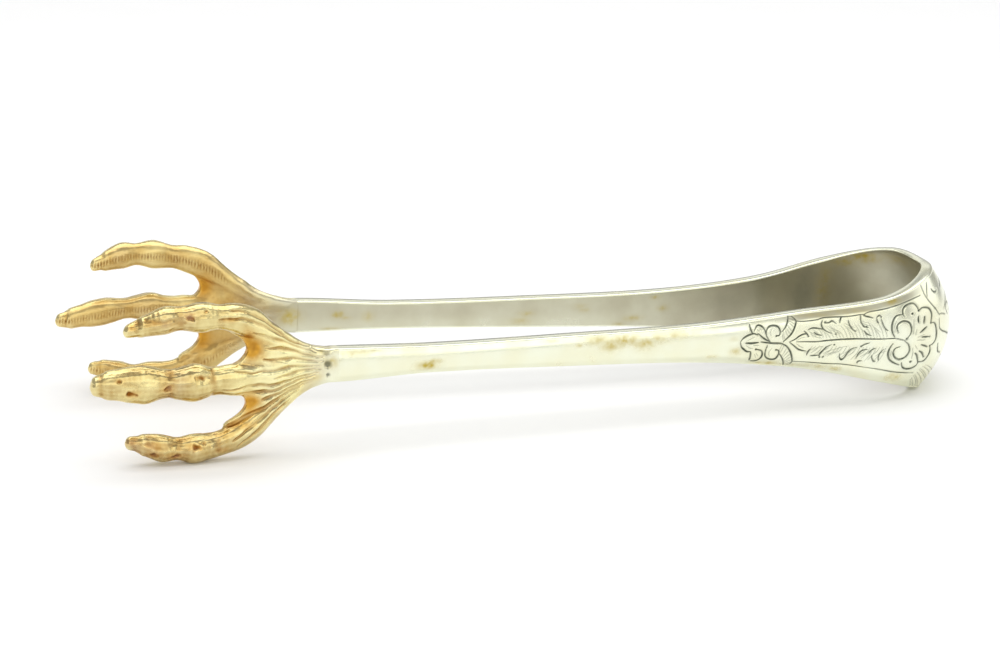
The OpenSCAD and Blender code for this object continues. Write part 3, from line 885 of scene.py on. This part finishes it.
# ---------------------------------------------------------------- materials
class Nodes:
    """A material's nodes, with short calls to add and join them."""

    def __init__(self, name):
        self.material = bpy.data.materials.new(name)
        self.material.use_nodes = True
        self.tree = self.material.node_tree
        self.shader = self.tree.nodes["Principled BSDF"]

    def add(self, kind, inputs=None, **settings):
        node = self.tree.nodes.new("ShaderNode" + kind)
        for key, value in settings.items():
            setattr(node, key, value)
        for key, value in (inputs or {}).items():
            if isinstance(value, bpy.types.NodeSocket):
                self.tree.links.new(value, node.inputs[key])
            else:
                node.inputs[key].default_value = value
        return node

    def attribute(self, name):
        return self.add("Attribute", attribute_name=name).outputs["Fac"]

    def noise(self, scale, detail, stretch=(1, 1, 1)):
        place = self.add("TexCoord").outputs["Object"]
        mapped = self.add("Mapping", {"Vector": place, "Scale": stretch}).outputs["Vector"]
        return self.add("TexNoise", {"Vector": mapped, "Scale": scale, "Detail": detail}).outputs["Fac"]

    def remap(self, value, low, high, to_low=0.0, to_high=1.0):
        return self.add("MapRange", {0: value, 1: low, 2: high, 3: to_low, 4: to_high}).outputs[0]

    def math(self, operation, a, b, clamp=False):
        return self.add("Math", {0: a, 1: b}, operation=operation, use_clamp=clamp).outputs[0]

    def mix(self, share, a, b):
        node = self.add("Mix", {0: share, 6: a, 7: b}, data_type="RGBA")
        return node.outputs[2]

    def link(self, value, key):
        self.tree.links.new(value, self.shader.inputs[key])

    def bump(self, heights):
        """Chained bumps from (height, distance in metres, strength) items."""
        normal = None
        for height, distance, strength in heights:
            inputs = {"Height": height, "Distance": distance, "Strength": strength}
            if normal:
                inputs["Normal"] = normal
            normal = self.add("Bump", inputs).outputs["Normal"]
        self.link(normal, "Normal")


SILVER = (0.87, 0.89, 0.72, 1)
SILVER_WARM = (0.85, 0.84, 0.62, 1)
PATINA = (0.02, 0.035, 0.022, 1)
TARNISH = (0.52, 0.4, 0.07, 1)
INNER = (0.49, 0.46, 0.35, 1)
GOLD = (0.53, 0.375, 0.135, 1)
GOLD_PALE = (0.96, 0.88, 0.46, 1)
AMBER = (0.68, 0.36, 0.05, 1)
GOLD_DEEP = (0.27, 0.1, 0.015, 1)
CLOUD_SCALE, SPECK_SCALE, GRAIN_SCALE, PAPER_SCALE = 160, 900, 700, 40


def silver_colour(m, cloud, speck):
    """Clean silver with soft clouds, olive-brown in its tarnish spots, greyer on the inner faces, partly
    duller oxidised silver and partly painted shade, and in the painted margin shade.
    """
    colour = m.mix(m.remap(cloud, 0.35, 0.7), SILVER, SILVER_WARM)
    grey = m.math("MULTIPLY", m.attribute("inside"), m.remap(cloud, 0.3, 0.7, 0.75, 1.0))
    colour = m.mix(grey, colour, INNER)
    broken = m.math("MULTIPLY", m.attribute("tarnish"), m.remap(speck, 0.35, 0.65, 0.55, 1.3), True)
    return m.mix(broken, colour, TARNISH), broken


def metal_roughness(m, cloud):
    """Softly clouded polish, duller on the inner faces."""
    rough = m.remap(cloud, 0.3, 0.75, 0.18, 0.3)
    return m.math("ADD", rough, m.math("MULTIPLY", m.attribute("inside"), 0.12))


def silver_material():
    """Worn silver: soft scratches along its length, tarnish in spots, dark patina in the engraving, and
    painted shade on the upper margin and inside the bow.
    """
    m = Nodes("worn_silver")
    cloud, speck = m.noise(CLOUD_SCALE, 4), m.noise(SPECK_SCALE, 3)
    scratch = m.noise(SPECK_SCALE, 3, (0.06, 1, 1))
    colour, broken = silver_colour(m, cloud, speck)
    # Dark patina in the engraving, and painted shade where the strap carries it.
    dark = m.math("MULTIPLY", m.attribute("patina_and_shade"), m.remap(speck, 0.25, 0.7, 1.1, 0.8), True)
    m.link(m.mix(dark, colour, PATINA), "Base Color")
    rough = metal_roughness(m, cloud)
    rough = m.math("ADD", rough, m.math("MULTIPLY", broken, 0.22))
    rough = m.math("ADD", rough, m.math("MULTIPLY", dark, 0.35), True)
    m.link(rough, "Roughness")
    m.shader.inputs["Metallic"].default_value = 1
    m.bump([(scratch, 0.00001, 0.3), (speck, 0.00001, 0.3)])
    return m.material


def gilt_material():
    """Gilt casting: painted highlight on its crests, orange-brown painted shade and stains in its hollows,
    thinning to silver at the wrist.
    """
    m = Nodes("worn_gilt")
    cloud, speck = m.noise(CLOUD_SCALE, 4), m.noise(SPECK_SCALE, 3)
    grain = m.noise(GRAIN_SCALE, 3, (0.45, 1, 1))
    colour = m.mix(m.remap(cloud, 0.42, 0.75, 0.0, 0.8), GOLD, GOLD_PALE)
    # Painted highlight on the crests.
    colour = m.mix(m.math("MULTIPLY", m.attribute("crest_highlight"), 0.95), colour, GOLD_PALE)
    colour = m.mix(m.attribute("amber"), colour, AMBER)
    # Painted shade and stains in the hollows.
    deep = m.math("MULTIPLY", m.attribute("shade_and_stain"), m.remap(speck, 0.3, 0.7, 0.75, 1.15), True)
    colour = m.mix(deep, colour, GOLD_DEEP)
    plain, _ = silver_colour(m, cloud, speck)
    shown = m.math("MULTIPLY", m.attribute("gold"), m.remap(cloud, 0.25, 0.6, 0.85, 1.1), True)
    colour = m.mix(shown, plain, colour)
    m.link(m.mix(m.attribute("patina_and_shade"), colour, PATINA), "Base Color")
    rough = metal_roughness(m, cloud)
    rough = m.math("ADD", rough, m.math("MULTIPLY", deep, 0.2), True)
    m.link(rough, "Roughness")
    m.shader.inputs["Metallic"].default_value = 1
    m.bump([(grain, 0.00005, 0.3), (speck, 0.00002, 0.3)])
    return m.material


def floor_material():
    """Matt pale paper."""
    m = Nodes("pale_floor")
    m.link(m.mix(m.noise(PAPER_SCALE, 3), (0.93, 0.93, 0.93, 1), (0.95, 0.95, 0.95, 1)), "Base Color")
    m.shader.inputs["Roughness"].default_value = 0.9
    m.shader.inputs["Specular IOR Level"].default_value = 0.1
    return m.material


silver, gilt = silver_material(), gilt_material()

# Each side gets a strap half in place of the CAD bow and arm, and a claw riding on its side's body in place
# of the CAD foot, toes and talons.
for side_name, side in (("left", -1), ("right", 1)):
    body = side_name + "_side"
    half = strap(side_name + "_strap", side)
    half.data.materials.append(silver)
    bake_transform(half)
    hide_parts("spring_bow", side_name + "_arm")

    foot = claw(side_name + "_claw", side)
    foot.data.materials.append(gilt)
    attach(foot, body)
    parts = [side_name + "_" + level + "_" + part for level in LIMBS for part in ("toe", "talon")]
    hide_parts(side_name + "_foot", *parts)

# ---------------------------------------------------------------- floor, light and camera
FLOOR_HALF, FLOOR_DROP = 3, 0.00002
floor_mesh = bpy.data.meshes.new("floor")
corners = [(x * FLOOR_HALF, y * FLOOR_HALF, -FLOOR_DROP) for x, y in ((-1, -1), (1, -1), (1, 1), (-1, 1))]
floor_mesh.from_pydata(corners, [], [(0, 1, 2, 3)])
floor = bpy.data.objects.new("floor", floor_mesh)
floor.data.materials.append(floor_material())
bpy.context.scene.collection.objects.link(floor)


def softbox(name, place, aim, size, power, colour=(1, 1, 1)):
    """A rectangular area light at a place, facing the point that it is aimed at."""
    data = bpy.data.lights.new(name, "AREA")
    data.shape = "RECTANGLE"
    data.size, data.size_y = size
    data.energy = power
    data.color = colour
    lamp = bpy.data.objects.new(name, data)
    lamp.location = place
    lamp.rotation_euler = (Vector(aim) - Vector(place)).to_track_quat("-Z", "Y").to_euler()
    bpy.context.scene.collection.objects.link(lamp)


softbox("overhead", (0, 0.1, 0.9), (0, 0, 0), (1.4, 0.9), 7)
softbox("front", (-0.1, -1.0, 0.42), (0, 0, 0.02), (1.8, 0.75), 4.4, (1, 1, 0.94))
softbox("end", (1.1, -0.25, 0.4), (0.07, 0, 0.01), (1.2, 0.8), 2.5)
softbox("back", (0, 1.3, 0.55), (0, 0, 0), (2, 0.6), 2)

world = bpy.data.worlds.new("studio")
world.use_nodes = True
world.node_tree.nodes["Background"].inputs["Color"].default_value = (1, 1, 1, 1)
world.node_tree.nodes["Background"].inputs["Strength"].default_value = 0.44
bpy.context.scene.world = world
bpy.context.scene.view_settings.view_transform = "Standard"

# The camera stands where a fit to the photo's outlines put it.
CAMERA_AT = (-0.14412, -0.41053, 0.1440)
lens = bpy.data.cameras.new("camera")
lens.lens, lens.sensor_width = 90.67, 36
lens.clip_start, lens.clip_end = 0.01, 20
camera = bpy.data.objects.new("camera", lens)
back = Vector((-0.3058, -0.9069, 0.2900)).normalized()
right = Vector((0.9504, -0.3091, 0.0356))
right = (right - back * right.dot(back)).normalized()
up = back.cross(right)
turned = Matrix((right, up, back)).transposed().to_4x4()
camera.matrix_world = Matrix.Translation(CAMERA_AT) @ turned
bpy.context.scene.collection.objects.link(camera)
bpy.context.scene.camera = camera
